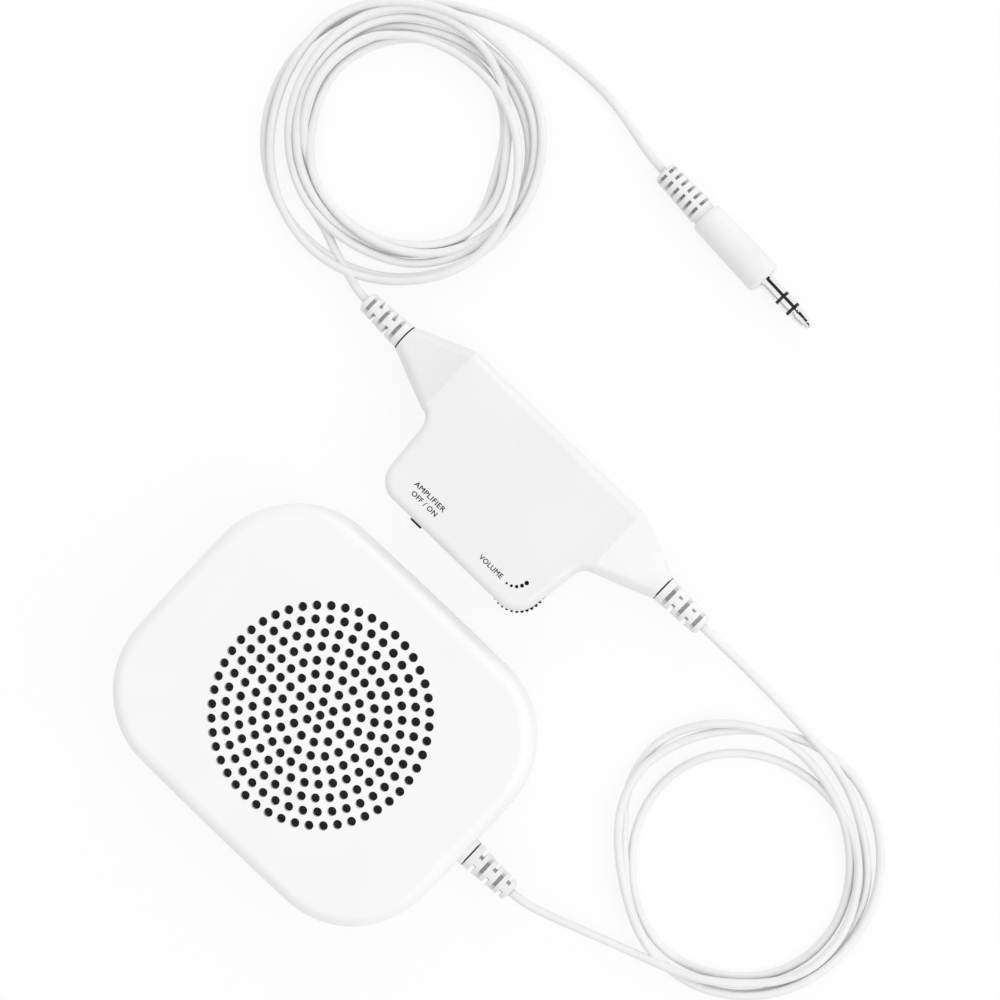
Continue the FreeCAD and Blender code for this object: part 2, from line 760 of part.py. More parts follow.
def battery_door(bottom):
    # floor and back wall in one, with two hooks over the floor of the bottom shell
    door = bottom.common(door_space(door_gap))
    hook_low_x = door_inner_x + door_gap
    hooks = [block(hook_low_x, hook_low_x + door_hook_length, y - door_hook_reach,
                   y + door_hook_reach, door_hook_low, door_hook_low + door_hook_thickness)
             for y in (door_low_y + door_gap, door_high_y - door_gap)]
    half_reach = door_hook_reach / 2
    feet = [block(hook_low_x, hook_low_x + door_hook_length, y - half_reach, y + half_reach,
                  amp_wall / 2, door_hook_low + door_hook_thickness)
            for y in (door_low_y + door_gap + half_reach, door_high_y - door_gap - half_reach)]
    door = union(door, hooks + feet)
    groove_y = (door_low_y + door_high_y) / 2
    grooves = []
    for i in range(door_grooves):
        x = amp_back_x - amp_back_radius - door_groove_width - i * door_groove_pitch
        grooves.append(block(x, x + door_groove_width, groove_y - contact_width,
                             groove_y + contact_width, 0, door_groove_depth))
    lift = block(-amp_length, amp_length, -amp_length, amp_length, 0, fit_gap)
    return door.cut(Part.makeCompound(grooves)).cut(lift)


# what the amplifier holds

board_top = board_height + board_thickness


def amp_board():
    inset = amp_wall + board_gap
    tip_x = -amp_box_reach + inset
    inner_x = -cell_radius - board_gap
    plan = [(inner_x, amp_box_high[0] - inset, 0),
            (tip_x, amp_box_high[1] - inset, amp_box_high_corner - inset),
            (tip_x, amp_box_low[1] + inset, amp_box_low_corner - inset),
            (inner_x, amp_box_low[0] + inset, 0)]
    board = prism(rounded_outline(plan, board_height), board_thickness)
    holes = [ring(0, amp_screw_shank + head_gap, board_height, board_top, p)
             for p in amp_screw_places]
    return board.cut(Part.makeCompound(holes))


def on_board(size, place):
    length, depth, height = size
    return block(place[0] - depth / 2, place[0] + depth / 2, place[1] - length / 2,
                 place[1] + length / 2, board_top, board_top + height)


def amp_chip():
    body = on_board(chip_size, chip_place)
    length, depth, height = chip_size
    legs = [on_board((0.4, depth + 2.0, height * 0.4), (chip_place[0], chip_place[1] + y))
            for y in (-1.9, -0.63, 0.63, 1.9)]
    return union(body, legs)


def amp_capacitors():
    places = capacitor_places + ((outer_capacitor[0] - amp_box_reach, outer_capacitor[1]),)
    return Part.makeCompound([ring(0, capacitor_radius, board_top, board_top + capacitor_height, p)
                              for p in places])


def amp_resistors():
    return Part.makeCompound([on_board(resistor_size, (x - amp_box_reach, y))
                              for x, y in resistor_places])


def amp_screws():
    return Part.makeCompound([screw(amp_screw_head, amp_screw_shank, amp_screw_length,
                                    amp_screw_sink, p) for p in amp_screw_places])


def battery_cell():
    body = along_y(cell_radius, cell_low_y, cell_low_y + cell_length, amp_axis_z)
    nub = along_y(cell_nub_radius, cell_low_y + cell_length, cell_high_y, amp_axis_z)
    return union(body, [nub])


def cell_plate():
    return block(-contact_width / 2, contact_width / 2, plate_y, plate_y + contact_thickness,
                 amp_axis_z - contact_width / 2, amp_axis_z + contact_width / 2)


def cell_leaf():
    # a flat contact plate with a springy tongue bent out to the cell
    back, face, tip, t = leaf_y - contact_thickness, leaf_y, cell_low_y, leaf_thickness
    low, high = amp_axis_z - contact_width / 2, amp_axis_z + contact_width / 2
    outline = [(face, high), (tip, amp_axis_z + 2 * t), (tip, amp_axis_z - 2 * t),
               (face + 3 * t, low + 4 * t), (face + 2 * t, low + 5 * t),
               (tip - t, amp_axis_z - 1.5 * t), (tip - t, amp_axis_z + 1.5 * t),
               (face, high - 2 * t)]
    points = [V(-leaf_width / 2, y, z) for y, z in outline]
    tongue = Part.Face(Part.makePolygon(points + points[:1])).extrude(V(leaf_width, 0, 0))
    plate = block(-contact_width / 2, contact_width / 2, back, face, low, high)
    return union(plate, [tongue])


def volume_wheel():
    outline = []
    steps = 4 * wheel_knurls
    for i in range(steps):
        radius = wheel_radius - (wheel_knurl_depth if i % 4 > 1 else 0)
        angle = 2 * pi * i / steps
        outline.append(V(radius * cos(angle), radius * sin(angle), wheel_low))
    wheel = Part.Face(Part.makePolygon(outline + outline[:1])).extrude(V(0, 0, wheel_thickness))
    hub = ring(0, wheel_hub_radius, board_top + wheel_gap, wheel_low)
    dish = ring(wheel_hub_radius + 0.6, wheel_radius - 1.4, wheel_high - 0.6, wheel_high)
    wheel = union(wheel, [hub]).cut(dish)
    wheel = wheel.cut(ring(0, wheel_screw_shank + thread_gap, wheel_low, wheel_high))
    wheel.translate(V(wheel_place[0], wheel_place[1], 0))
    return wheel


def volume_pot():
    return ring(wheel_hub_radius + wheel_running_gap, pot_radius, board_top,
                wheel_low - wheel_gap, wheel_place)


def wheel_screw():
    head_low = wheel_high
    body = turned([(0, head_low - wheel_screw_length + wheel_gap),
                   (wheel_screw_shank, head_low - wheel_screw_length + wheel_gap),
                   (wheel_screw_shank, head_low), (wheel_screw_head, head_low),
                   (wheel_screw_head, head_low + 0.5), (wheel_screw_head * 0.7, head_low + 0.9),
                   (0, head_low + 0.9)])
    body = body.cut(block(-wheel_screw_head, wheel_screw_head, -0.25, 0.25, head_low + 0.5,
                          head_low + 0.9))
    body.translate(V(wheel_place[0], wheel_place[1], 0))
    return body


switch_face_x = -amp_box_reach + amp_wall + switch_setback
stem_slot_length = stem_size[0] + switch_travel + 2 * knob_gap


def switch_body():
    depth, length, height = switch_size
    middle_y = knob_place_y + switch_travel / 2
    body = block(switch_face_x, switch_face_x + depth, middle_y - length / 2,
                 middle_y + length / 2, board_top, board_top + height)
    return body.cut(block(switch_face_x, switch_face_x + stem_depth + knob_gap,
                          middle_y - stem_slot_length / 2, middle_y + stem_slot_length / 2,
                          amp_axis_z - stem_size[1] / 2 - knob_gap,
                          amp_axis_z + stem_size[1] / 2 + knob_gap))


def switch_knob():
    tip_x = knob_face_x - knob_reach
    inner_x = switch_face_x - knob_gap
    knob = block(tip_x, inner_x, knob_place_y - knob_length / 2, knob_place_y + knob_length / 2,
                 amp_axis_z - knob_height / 2, amp_axis_z + knob_height / 2)
    edges = [e for e in knob.Edges if e.BoundBox.XMax < tip_x + 1e-3]
    knob = knob.makeFillet(knob_round, edges)
    stem = block(inner_x, switch_face_x + stem_depth, knob_place_y - stem_size[0] / 2,
                 knob_place_y + stem_size[0] / 2, amp_axis_z - stem_size[1] / 2,
                 amp_axis_z + stem_size[1] / 2)
    return union(knob, [stem])


def amp_boot(side, first_slots_up):
    relief = strain_relief(first_slots_up)
    if side < 0:
        relief.rotate(V(0, 0, 0), up, 180)
    relief.translate(V(0, side * (amp_half_length + boot_gap), amp_axis_z))
    return relief


# plug

def plug_placed(shape):
    shape.translate(V(0, 0, plug_barrel_radius))
    shape.rotate(V(0, 0, 0), up, plug_turn)
    shape.translate(V(plug_place[0], plug_place[1], 0))
    return shape


def lathe_y(profile):
    # a profile of (radius, y), turned about the Y axis
    points = [V(r, y, 0) for r, y in profile]
    return Part.Face(Part.makePolygon(points + points[:1])).revolve(V(0, 0, 0), V(0, 1, 0), 360)


waist_y = plug_barrel_length
boot_start_y = waist_y + plug_waist_length
boot_end_y = boot_start_y + plug_boot_length


def plug_handle():
    r, b, c = plug_barrel_radius, plug_barrel_back, plug_barrel_round
    profile = [(0, 0), (r - c, 0), (r - 0.3 * c, 0.3 * c), (r, c), (b, waist_y - c),
               (b - 0.3 * c, waist_y - 0.3 * c), (b - c, waist_y), (plug_boot_wide - 0.3, waist_y),
               (plug_boot_wide - 0.3, boot_start_y), (plug_boot_wide, boot_start_y),
               (plug_boot_narrow + 0.15, boot_end_y - 0.5), (plug_boot_narrow - 0.5, boot_end_y),
               (0, boot_end_y)]
    handle = lathe_y(profile)
    slots = [slot_band(plug_boot_core, boot_start_y + plug_slot_first + row * plug_slot_pitch,
                       plug_slot_width, plug_web, (True, False)) for row in range(plug_slot_rows)]
    slots = Part.makeCompound(slots)
    slots.rotate(V(0, 0, 0), V(1, 0, 0), -90)
    handle = handle.cut(slots)
    bore = lathe_y([(0, 0), (shaft_core_radius, 0), (shaft_core_radius, 2.0), (0, 2.0)])
    return handle.cut(bore)


sleeve_end = -shaft_sleeve_length
ring_start = sleeve_end - shaft_insulator
ring_end = ring_start - shaft_ring_length
tip_start = ring_end - shaft_insulator


def plug_sleeve():
    plate_radius_y = shaft_radius + 0.6
    return lathe_y([(shaft_core_radius, 0), (plate_radius_y, 0), (plate_radius_y, -collar_plate),
                    (shaft_radius, -collar_plate), (shaft_radius, sleeve_end),
                    (shaft_core_radius, sleeve_end)])


def plug_ring():
    return lathe_y([(shaft_core_radius, ring_start), (shaft_radius, ring_start),
                    (shaft_radius, ring_end), (shaft_core_radius, ring_end)])


def plug_insulators():
    proud = shaft_radius + insulator_step
    first = [(shaft_core_radius, sleeve_end), (proud, sleeve_end), (proud, ring_start),
             (shaft_core_radius, ring_start)]
    second = [(shaft_core_radius, ring_end), (proud, ring_end), (proud, tip_start),
              (shaft_core_radius, tip_start)]
    return Part.makeCompound([lathe_y(first), lathe_y(second)])


def plug_tip():
    # the centre rod runs back through the ring and sleeve; the tip has a groove behind its
    # head, tapers, and ends in a blunt nose
    def out(share):
        return tip_start + (-shaft_length - tip_start) * share

    return lathe_y([(0, 2.0), (shaft_core_radius, 2.0), (shaft_core_radius, tip_start),
                    (shaft_radius, tip_start), (shaft_radius, out(0.03)),
                    (tip_neck_radius, out(0.1)), (tip_neck_radius, out(0.16)),
                    (tip_head_radius, out(0.22)), (tip_head_radius, out(0.34)),
                    (tip_shoulder_radius, out(0.74)), (tip_nose_radius, out(0.8)),
                    (tip_nose_radius, out(0.92)), (0.6 * tip_nose_radius, out(1)), (0, out(1))])


# cords

def world_from(turn, place_x, place_y, x, y):
    angle = radians(turn)
    return (place_x + x * cos(angle) - y * sin(angle), place_y + x * sin(angle) + y * cos(angle))


boot_tip = amp_half_length + boot_gap + boot_length
speaker_exit = (boot_side, boot_face_y - boot_length, boot_axis_z)


def from_amp(y):
    return world_from(amp_turn, amp_place_x, amp_place_y, 0, y) + (amp_axis_z,)


def from_plug(y):
    return world_from(plug_turn, plug_place[0], plug_place[1], 0, y) + (plug_barrel_radius,)


speaker_lead_route = [
    speaker_exit, (boot_side, -59.6, boot_axis_z), (1.0, -65.8, 4.0), (3.4, -72.6, 1.7),
    (6.0, -79.4, 1.0), (8.6, -86.6, 1.0), (10.4, -92.0, 1.0)]
speaker_tail_route = [
    (65.3, -87.0, 3.2), (66.7, -81.4, 3.1), (67.8, -74.6, 2.1), (68.6, -67.4, 1.6),
    (68.9, -59.6, 3.9), from_amp(-boot_tip - 6.0), from_amp(-boot_tip)]
plug_lead_route = [
    from_amp(boot_tip), from_amp(boot_tip + 4.0), (72.1, 63.4, 5.0), (73.4, 67.9, 2.4),
    (75.5, 72.2, 1.0)]
plug_tail_route = [
    (129.4, 87.6, 3.0), (132.7, 82.4, 2.8), (136.1, 75.4, 1.5), (138.8, 66.6, 1.0),
    (139.8, 56.6, 1.0), (139.5, 46.2, 1.2), (138.0, 37.0, 3.2),
    from_plug(boot_end_y + 4.5), from_plug(boot_end_y)]


def cord(name, route):
    points = [V(*p) for p in route]
    edges = []
    radii = []
    start = points[0]
    for i in range(1, len(points) - 1):
        back, ahead = points[i - 1] - points[i], points[i + 1] - points[i]
        reach = arc_share * min(back.Length, ahead.Length)
        back.normalize()
        ahead.normalize()
        half_turn = (pi - back.getAngle(ahead)) / 2
        radius = reach / tan(half_turn)
        radii.append(round(radius, 1))
        inward = back + ahead
        inward.normalize()
        middle = points[i] + inward * (radius / cos(half_turn) - radius)
        into, out = points[i] + back * reach, points[i] + ahead * reach
        edges.append(Part.LineSegment(start, into).toShape())
        edges.append(Part.Arc(into, middle, out).toShape())
        start = out
    edges.append(Part.LineSegment(start, points[-1]).toShape())
    path = Part.Wire(edges)
    section = Part.Wire(Part.makeCircle(cord_radius, points[0], points[1] - points[0]))
    tube = path.makePipeShell([section], True, False)
    expected = pi * cord_radius ** 2 * path.Length
    print(name, "length", round(path.Length, 1), "radii", radii,
          "volume share", round(tube.Volume / expected, 4))
    return tube


def coil(centre, outer, inner, height):
    r = coil_edge_radius
    section = rounded_outline([(inner, 0, r), (outer, 0, r), (outer, height, r),
                               (inner, height, r)])
    section.rotate(V(0, 0, 0), V(1, 0, 0), 90)
    solid = Part.Face(section).revolve(V(0, 0, 0), up, 360)
    solid.translate(V(centre[0], centre[1], 0))
    return solid


# nodes

amp_outer, amp_top, amp_bottom = amp_halves()

nodes = {
    "speaker_front_shell": speaker_front_shell(),
    "speaker_rear_shell": speaker_rear_shell(),
    "speaker_screws": speaker_screws(),
    "grille_cloth": grille_cloth(),
    "driver_gasket": driver_gasket(),
    "driver_cone": driver_cone(),
    "dust_cap": dust_cap(),
    "voice_coil": voice_coil(),
    "driver_basket": driver_basket(),
    "driver_top_plate": driver_top_plate(),
    "driver_magnet": driver_magnet(),
    "driver_yoke": driver_yoke(),
    "driver_pad": driver_pad(),
    "driver_terminal": driver_terminal(),
    "speaker_boot": speaker_boot(),
    "amp_top_shell": amp_placed(amp_top_shell(amp_top)),
    "amp_bottom_shell": amp_placed(amp_bottom_shell(amp_bottom)),
    "battery_door": amp_placed(battery_door(amp_bottom)),
    "amp_board": amp_placed(amp_board()),
    "amp_chip": amp_placed(amp_chip()),
    "amp_capacitors": amp_placed(amp_capacitors()),
    "amp_resistors": amp_placed(amp_resistors()),
    "amp_screws": amp_placed(amp_screws()),
    "battery_cell": amp_placed(battery_cell()),
    "cell_plate": amp_placed(cell_plate()),
    "cell_leaf": amp_placed(cell_leaf()),
    "volume_wheel": amp_placed(volume_wheel()),
    "volume_pot": amp_placed(volume_pot()),
    "wheel_screw": amp_placed(wheel_screw()),
    "switch_body": amp_placed(switch_body()),
    "switch_knob": amp_placed(switch_knob()),
    "amp_speaker_boot": amp_placed(amp_boot(-1, True)),
    "amp_plug_boot": amp_placed(amp_boot(1, True)),
    "plug_handle": plug_placed(plug_handle()),
    "plug_sleeve": plug_placed(plug_sleeve()),
    "plug_ring": plug_placed(plug_ring()),
    "plug_insulators": plug_placed(plug_insulators()),
    "plug_tip": plug_placed(plug_tip()),
    "speaker_lead": cord("speaker lead", speaker_lead_route),
    "speaker_lead_coil": coil(speaker_coil_centre, speaker_coil_outer, speaker_coil_inner,
                              speaker_coil_height),
    "speaker_lead_tail": cord("speaker lead tail", speaker_tail_route),
    "plug_lead": cord("plug lead", plug_lead_route),
    "plug_lead_coil": coil(plug_coil_centre, plug_coil_outer, plug_coil_inner, plug_coil_height),
    "plug_lead_tail": cord("plug lead tail", plug_tail_route),
}

os.makedirs("parts", exist_ok=True)
for name, shape in nodes.items():
    shape.exportStep("parts/" + name + ".step")
    print(name, "solids", len(shape.Solids), "valid", shape.isValid(), "volume",
          round(shape.Volume, 1))
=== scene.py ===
import json
import math

import bpy
from mathutils import Euler, Matrix, Vector


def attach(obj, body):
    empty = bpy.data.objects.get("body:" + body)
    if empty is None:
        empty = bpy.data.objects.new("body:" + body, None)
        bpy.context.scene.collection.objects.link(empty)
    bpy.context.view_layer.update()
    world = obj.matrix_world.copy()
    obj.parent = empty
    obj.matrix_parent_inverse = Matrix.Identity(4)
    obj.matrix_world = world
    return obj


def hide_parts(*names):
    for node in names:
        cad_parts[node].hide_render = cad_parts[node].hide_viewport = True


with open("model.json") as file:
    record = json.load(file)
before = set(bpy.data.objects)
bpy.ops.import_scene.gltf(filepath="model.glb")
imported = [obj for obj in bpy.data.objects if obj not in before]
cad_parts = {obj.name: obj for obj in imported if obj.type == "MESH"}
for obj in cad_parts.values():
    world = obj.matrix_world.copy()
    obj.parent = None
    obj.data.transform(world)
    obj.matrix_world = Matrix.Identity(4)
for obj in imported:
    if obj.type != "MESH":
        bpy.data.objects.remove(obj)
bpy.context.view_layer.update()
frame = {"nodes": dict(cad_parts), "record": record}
nodes = frame["nodes"]
mm = 0.001


# where the pieces lie, as in the part's source, in millimetres

ampFrame = {"place": (70.0, 4.35), "turn": -1.0, "axisHeight": 7.0, "top": 14.0}
plugFrame = {"place": (132.9, -5.1), "turn": -4.3, "axisHeight": 3.98}


def fromFrame(where, x, y, z=None):
    # a point of the amplifier's or the plug's own frame, in millimetres of the room
    turn = math.radians(where["turn"])
    return (where["place"][0] + x * math.cos(turn) - y * math.sin(turn),
            where["place"][1] + x * math.sin(turn) + y * math.cos(turn),
            where["axisHeight"] if z is None else z)


def lineOf(where):
    # the axis of such a frame, for the materials: a point in metres and a direction
    turn = math.radians(where["turn"])
    point = tuple(value * mm for value in fromFrame(where, 0, 0))
    return point, (-math.sin(turn), math.cos(turn), 0.0)


class Wire:
    # one socket of a node tree; arithmetic on it adds Math nodes
    def __init__(self, tree, socket):
        self.tree, self.socket = tree, socket

    def node(self, kind, settings=None, values=None, out=0):
        # any node: its type, its settings and the values or wires of its sockets
        made = self.tree.nodes.new(kind)
        for name, value in (settings or {}).items():
            setattr(made, name, value)
        for name, value in (values or {}).items():
            if isinstance(value, Wire):
                self.tree.links.new(value.socket, made.inputs[name])
            else:
                made.inputs[name].default_value = value
        return Wire(self.tree, made.outputs[out])

    def combine(self, operation, *values):
        return self.node("ShaderNodeMath", {"operation": operation}, dict(enumerate(values)))

    def math(self, operation, *others):
        # one Math node with this wire as its first value
        return self.combine(operation, self, *others)

    def __add__(self, other):
        return self.math("ADD", other)

    def __radd__(self, other):
        return self.combine("ADD", other, self)

    def __sub__(self, other):
        return self.math("SUBTRACT", other)

    def __rsub__(self, other):
        return self.combine("SUBTRACT", other, self)

    def __mul__(self, other):
        return self.math("MULTIPLY", other)

    def __rmul__(self, other):
        return self.combine("MULTIPLY", other, self)

    def noise(self, scale, detail=2.0, rough=0.5):
        return self.node("ShaderNodeTexNoise", None,
                         {"Vector": self, "Scale": scale, "Detail": detail, "Roughness": rough})

    def step(self, low, high):
        # 0 below low, 1 above high, smooth between
        return self.node("ShaderNodeMapRange", {"interpolation_type": "SMOOTHSTEP"},
                         {"Value": self, "From Min": low, "From Max": high})

    def blend(self, first, second):
        # this wire picks between two colours, each a wire or plain numbers
        values = {0: self}
        for socket, colour in ((6, first), (7, second)):
            values[socket] = colour if isinstance(colour, Wire) else (*colour, 1.0)
        return self.node("ShaderNodeMix", {"data_type": "RGBA"}, values, out=2)

    def split(self):
        # X, Y and Z of this place
        made = self.node("ShaderNodeSeparateXYZ", None, {0: self})
        return [Wire(self.tree, output) for output in made.socket.node.outputs]

    def vector(self, operation, *others, out=0):
        # one Vector Math node with this wire as its first value
        return self.node("ShaderNodeVectorMath", {"operation": operation},
                         dict(enumerate((self, *others))), out)

    def along(self, axis):
        # how far this place is along an axis, which is a point and a direction
        point, direction = axis
        return self.vector("SUBTRACT", point).vector("DOT_PRODUCT", direction, out="Value")

    def away(self, axis):
        # how far this place is away from such an axis
        along = self.along(axis)
        reach = self.vector("SUBTRACT", axis[0]).vector("LENGTH", out="Value")
        return (reach * reach - along * along).math("SQRT")

    def bump(self):
        # this wire as a height in millimetres
        return self.node("ShaderNodeBump", None,
                         {"Height": self, "Distance": mm, "Strength": 1.0})


def startMaterial(name, fixed):
    # a Principled shader with its fixed sockets set, and the object's coordinates
    material = bpy.data.materials.new(name)
    material.use_nodes = True
    tree = material.node_tree
    shader = tree.nodes["Principled BSDF"]
    for socket, value in fixed.items():
        shader.inputs[socket].default_value = value
    place = Wire(tree, tree.nodes.new("ShaderNodeTexCoord").outputs["Object"])
    return material, shader, place


def feed(shader, **wires):
    names = {"colour": "Base Color", "rough": "Roughness", "normal": "Normal"}
    for name, wire in wires.items():
        wire.tree.links.new(wire.socket, shader.inputs[names[name]])


print("frame loaded:", len(nodes), "nodes")


# the cords, in millimetres: a coil is worked out at a few places for each point of the
# curve, against the strands up to some turns before and after
cordSizes = {"radius": 0.95, "lift": 0.05, "pointsPerTurn": 24, "placesPerPoint": 4,
             "turnsNear": 5, "smoothReach": 5, "lengthSteps": 6, "roundSteps": 5}


def between(stations, angle):
    # a value at this angle of a list of (angle, value), smooth through its points
    last = len(stations) - 2
    i = max(0, min(last, sum(1 for s in stations if s[0] <= angle) - 1))
    (a0, v0), (a1, v1) = stations[i], stations[i + 1]
    before = stations[max(i - 1, 0)]
    after = stations[min(i + 2, last + 1)]
    slope0 = (v1 - before[1]) / (a1 - before[0])
    slope1 = (after[1] - v0) / (after[0] - a0)
    t, span = (angle - a0) / (a1 - a0), a1 - a0
    return ((2 * t ** 3 - 3 * t ** 2 + 1) * v0 + (t ** 3 - 2 * t ** 2 + t) * span * slope0
            + (3 * t ** 2 - 2 * t ** 3) * v1 + (t ** 3 - t ** 2) * span * slope1)


def around(values, i, reach):
    # the values beside this one, itself included
    return values[max(0, i - reach):i + reach + 1]


def coilPoints(coil, cord):
    # the coil's turns as points: radii from the stations, and heights as each strand
    # comes to rest on the strands that were laid before it
    perTurn = cord["pointsPerTurn"] * cord["placesPerPoint"]
    first, last = coil["angles"]
    count = round((last - first) * perTurn / 360.0)
    angles = [first + i * 360.0 / perTurn for i in range(count + 1)]
    radii = [between(coil["radii"], a) for a in angles]
    layers = [coil["layer"](a) for a in angles]
    apart = 2 * cord["radius"] + cord["lift"]
    heights = [cord["radius"] + cord["lift"]] * len(angles)
    for layer in sorted(set(layers)):
        for i in range(len(angles)):
            if layers[i] != layer:
                continue
            for turns in range(-cord["turnsNear"], cord["turnsNear"] + 1):
                j = i + turns * perTurn
                if turns and 0 <= j < len(angles) and layers[j] < layer:
                    side = abs(radii[i] - radii[j])
                    if side < apart:
                        heights[i] = max(heights[i],
                                         heights[j] + math.sqrt(apart ** 2 - side ** 2))
    reach = cord["smoothReach"]
    humps = [max(around(heights, i, reach)) for i in range(len(heights))]
    points = []
    for i in range(0, len(angles), cord["placesPerPoint"]):
        a = math.radians(angles[i] * coil["way"])
        # the curve stays inside its points, so they stand a little further out
        r = radii[i] / math.cos(math.pi / cord["pointsPerTurn"])
        near = around(humps, i, reach)
        points.append((coil["centre"][0] + r * math.cos(a),
                       coil["centre"][1] + r * math.sin(a), sum(near) / len(near)))
    return points


def makeCord(name, points, cord):
    curve = bpy.data.curves.new(name, "CURVE")
    curve.dimensions = "3D"
    spline = curve.splines.new("NURBS")
    spline.points.add(len(points) - 1)
    for target, (x, y, z) in zip(spline.points, points):
        target.co = (x * mm, y * mm, z * mm, 1.0)
    spline.order_u = 3
    spline.use_endpoint_u = True
    spline.resolution_u = cord["lengthSteps"]
    curve.bevel_depth = cord["radius"] * mm
    curve.bevel_resolution = cord["roundSteps"]
    curve.use_fill_caps = True
    made = bpy.data.objects.new(name, curve)
    bpy.context.scene.collection.objects.link(made)
    return made


# the speaker's cord: out of the puck, round the lower coil and into the amplifier; each
# station is (angle, radius), and the layer says which strand lies on which
speakerCoil = {
    "centre": (38.3, -87.0), "way": 1, "angles": (195.0, 1440.0),
    "radii": [(180, 29.4), (195, 27.3), (215, 26.1), (228, 26.1), (250, 26.9), (273, 26.3),
              (300, 24.8), (315, 24.5), (345, 23.1), (362, 22.6), (392, 22.6), (435, 23.6),
              (495, 23.9), (540, 25.8), (570, 25.2), (605, 25.0), (645, 23.7), (675, 22.8),
              (700, 23.3), (720, 24.6), (750, 27.9), (780, 30.3), (796, 31.2), (810, 30.4),
              (825, 28.5), (842, 25.9), (856, 25.3), (885, 26.8), (915, 28.5), (955, 28.9),
              (990, 28.7), (1035, 29.4), (1070, 29.8), (1095, 28.9), (1123, 27.8),
              (1155, 28.6), (1176, 29.4), (1200, 27.5), (1217, 26.2), (1232, 26.1),
              (1260, 27.9), (1295, 28.9), (1320, 28.5), (1350, 27.2), (1380, 27.1),
              (1404, 26.1), (1425, 27.1), (1440, 28.3), (1455, 30.3)],
    "layer": lambda a: (20 if a < 258 else 3 if a < 335 else 0 if a < 560 else 1 if a < 700
                        else 4 if a < 805 else 1 if a < 885 else 2 if a < 1262
                        else 1 if a < 1428 else 5),
}
speakerRoute = (
    [(-0.55, -55.25, 7.0), (-0.5, -58.6, 6.6), (0.8, -63.6, 5.3), (2.9, -70.0, 4.2),
     (5.2, -76.6, 3.3), (7.6, -83.4, 3.0)]
    + coilPoints(speakerCoil, cordSizes)
    + [(67.4, -81.9, 2.8), (67.8, -77.6, 2.3), (68.2, -73.0, 1.8), (68.6, -67.0, 1.6),
       (68.9, -59.6, 3.9), fromFrame(ampFrame, 0, -56.6), fromFrame(ampFrame, 0, -50.6)])

# the plug's cord: out of the amplifier, round the upper coil and down to the plug
plugCoil = {
    "centre": (101.9, 73.9), "way": -1, "angles": (-180.0, 2115.0),
    "radii": [(-180, 25.4), (-150, 24.4), (-120, 24.0), (-90, 24.8), (-60, 25.9), (-30, 25.2),
              (0, 25.6), (30, 26.6), (60, 28.1), (90, 28.0), (120, 26.0), (150, 23.1),
              (180, 21.3), (210, 20.9), (240, 20.3), (270, 21.9), (300, 22.4), (345, 23.5),
              (365, 23.5), (390, 22.8), (420, 21.4), (435, 21.9), (465, 25.0), (480, 25.2),
              (510, 23.9), (540, 23.1), (575, 23.2), (600, 23.8), (630, 25.1), (660, 26.9),
              (680, 27.2), (710, 27.0), (735, 27.9), (760, 28.9), (785, 29.1), (825, 28.3),
              (855, 26.9), (880, 25.2), (930, 25.0), (960, 25.6), (990, 26.8), (1020, 28.8),
              (1038, 29.0), (1065, 27.7), (1095, 25.1), (1125, 22.9), (1140, 22.9),
              (1158, 24.3), (1185, 24.8), (1215, 22.9), (1245, 21.6), (1290, 21.3),
              (1335, 22.8), (1378, 24.0), (1404, 22.7), (1440, 22.2), (1470, 23.8),
              (1500, 26.1), (1530, 29.4), (1548, 31.0), (1575, 30.9), (1612, 31.2),
              (1650, 29.9), (1680, 29.2), (1710, 30.2), (1732, 31.3), (1760, 30.0),
              (1800, 29.4), (1830, 30.5), (1870, 30.7), (1930, 30.0), (1980, 30.1),
              (2015, 30.9), (2070, 31.1), (2115, 30.3), (2130, 30.9)],
    "layer": lambda a: (0 if a < 105 else 3 if a < 290 else 0 if a < 555 else 2 if a < 640
                        else 1 if a < 712 else 2 if a < 840 else 1 if a < 985
                        else 4 if a < 1115 else 2 if a < 1250 else 1 if a < 1325
                        else 4 if a < 1400 else 6 if a < 1805 else 3),
}
plugRoute = (
    [fromFrame(ampFrame, 0, 50.6), (71.1, 57.7, 6.6), (71.9, 61.0, 3.8), (72.8, 64.4, 1.7),
     (74.0, 68.4, 1.0)]
    + coilPoints(plugCoil, cordSizes)
    + [(128.9, 89.6, 1.6), (132.0, 85.4, 1.1), (135.9, 77.6, 1.0), (138.6, 68.8, 1.0),
       (139.7, 57.8, 1.0), (139.6, 45.7, 1.2), fromFrame(plugFrame, 0, 36.7),
       fromFrame(plugFrame, 0, 32.2)])

speakerCord = makeCord("speakerCord", speakerRoute, cordSizes)
plugCord = makeCord("plugCord", plugRoute, cordSizes)
print("cords made:", len(speakerRoute), len(plugRoute), "points")


# materials: every finish is worked out from the object's own coordinates, in metres

upright = ((0, 0, 0), (0, 0, 1))
plugAxis = lineOf(plugFrame)
ampAxis = lineOf(ampFrame)
speakerReliefAxis = ((-0.55 * mm, 0, 7.0 * mm), (0, -1, 0))


def mouldedPlastic(name, look, paintedShade=None):
    # spark-eroded or polished plastic: a soft cloud in the colour, a slow ripple in the
    # surface and the fine grain of the mould; the optional mask paints shade into gaps
    # that light can't reach
    material, shader, place = startMaterial(name, {"IOR": 1.5,
                                                   "Specular IOR Level": look["sheen"]})
    cloud = place.noise(look["cloudScale"], 3.0)
    ripple = place.noise(look["rippleScale"], 1.0)
    grain = place.noise(look["grainScale"], 2.0, 0.6)
    colour = cloud.step(0.3, 0.7).blend(look["colour"], look["shade"])
    # painted shade: the masked gaps take a near-black colour
    if paintedShade:
        colour = paintedShade(place).blend(colour, look["gap"])
    feed(shader, colour=colour,
         rough=look["rough"] + (grain - 0.5) * look["roughSpread"],
         normal=(ripple * look["ripple"] + grain * look["grain"]).bump())
    return material


